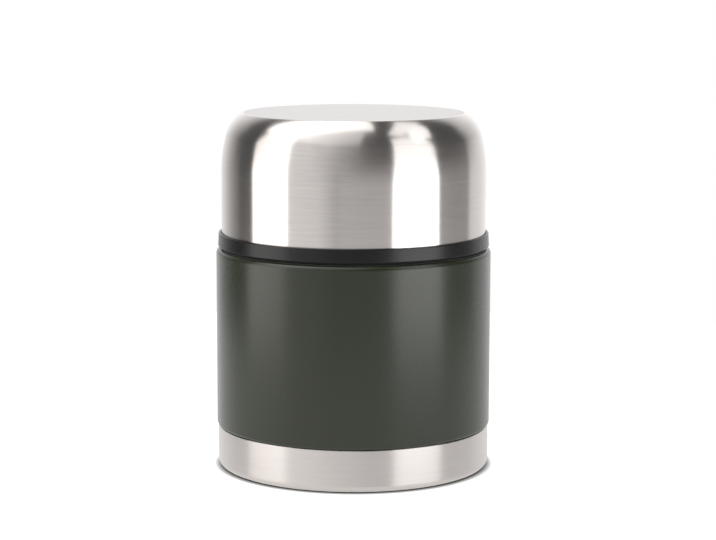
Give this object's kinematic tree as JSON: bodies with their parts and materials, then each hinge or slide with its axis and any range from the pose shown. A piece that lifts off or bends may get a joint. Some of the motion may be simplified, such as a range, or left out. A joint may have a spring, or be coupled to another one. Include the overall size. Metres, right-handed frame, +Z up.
{
  "type": "insulated food jar",
  "caption": "Round double-wall steel food jar with a painted wall, bare base cup, vented screw stopper and domed screw-on cup lid.",
  "frame": {"origin": "bottom centre of the base cup, on the surface that the jar stands on", "axes": "+Z up along the jar's axis, +X to the right and +Y away from the viewer"},
  "size_m": [0.1, 0.1, 0.1291],
  "materials": {
    "green_paint": "satin",
    "brushed_steel": "satin",
    "plain_steel": "satin",
    "black_plastic": "satin",
    "button_plastic": "satin",
    "foam": "matte",
    "black_silicone": "matte",
    "clear_silicone": "satin",
    "foil": "gloss",
    "getter_alloy": "matte",
    "solder_glass": "gloss",
    "spring_steel": "gloss"
  },
  "bodies": {
    "jar": {"outer_shell": "green_paint", "base_cup": "brushed_steel", "inner_vessel": "plain_steel", "vacuum_bottom": "plain_steel", "vacuum_seal": "solder_glass", "getter": "getter_alloy", "getter_clip": "plain_steel", "reflector_foil": "foil", "neck_collar": "black_plastic", "collar_seal": "black_silicone"},
    "stopper_ring": {"stopper_gasket": "clear_silicone"},
    "stopper": {"stopper_base": "black_plastic", "stopper_cap": "black_plastic", "stopper_foam": "foam", "vent_spring": "spring_steel"},
    "vent": {"vent_button": "button_plastic", "vent_seal": "clear_silicone", "vent_clip": "plain_steel"},
    "lid_ring": {"lid_seal": "black_silicone"},
    "lid": {"lid_shell": "brushed_steel", "lid_liner": "black_plastic", "lid_foam": "foam"}
  },
  "joints": [
    {"name": "stopper_rise", "type": "slide", "parent": "jar", "child": "stopper_ring", "axis": [0, 0, 1], "range_m": [0, 0.036]},
    {"name": "stopper_turn", "type": "hinge", "parent": "stopper_ring", "child": "stopper", "pos_m": [0, 0, 0.097], "axis": [0, 0, 1], "range_deg": [0, 720]},
    {"name": "vent_press", "type": "slide", "parent": "stopper", "child": "vent", "axis": [0, 0, -1], "range_m": [0, 0.0018], "stiffness_N_per_m": 400, "springref_m": -0.002, "deforming": ["vent_spring"]},
    {"name": "lid_rise", "type": "slide", "parent": "stopper", "child": "lid_ring", "axis": [0, 0, 1], "range_m": [0, 0.036]},
    {"name": "lid_turn", "type": "hinge", "parent": "lid_ring", "child": "lid", "pos_m": [0, 0, 0.0835], "axis": [0, 0, 1], "range_deg": [0, 720]}
  ],
  "couplings": [
    {"joint": "stopper_rise", "follows": "stopper_turn", "m_per_rad": 0.0028648},
    {"joint": "lid_rise", "follows": "lid_turn", "m_per_rad": 0.0028648}
  ]
}
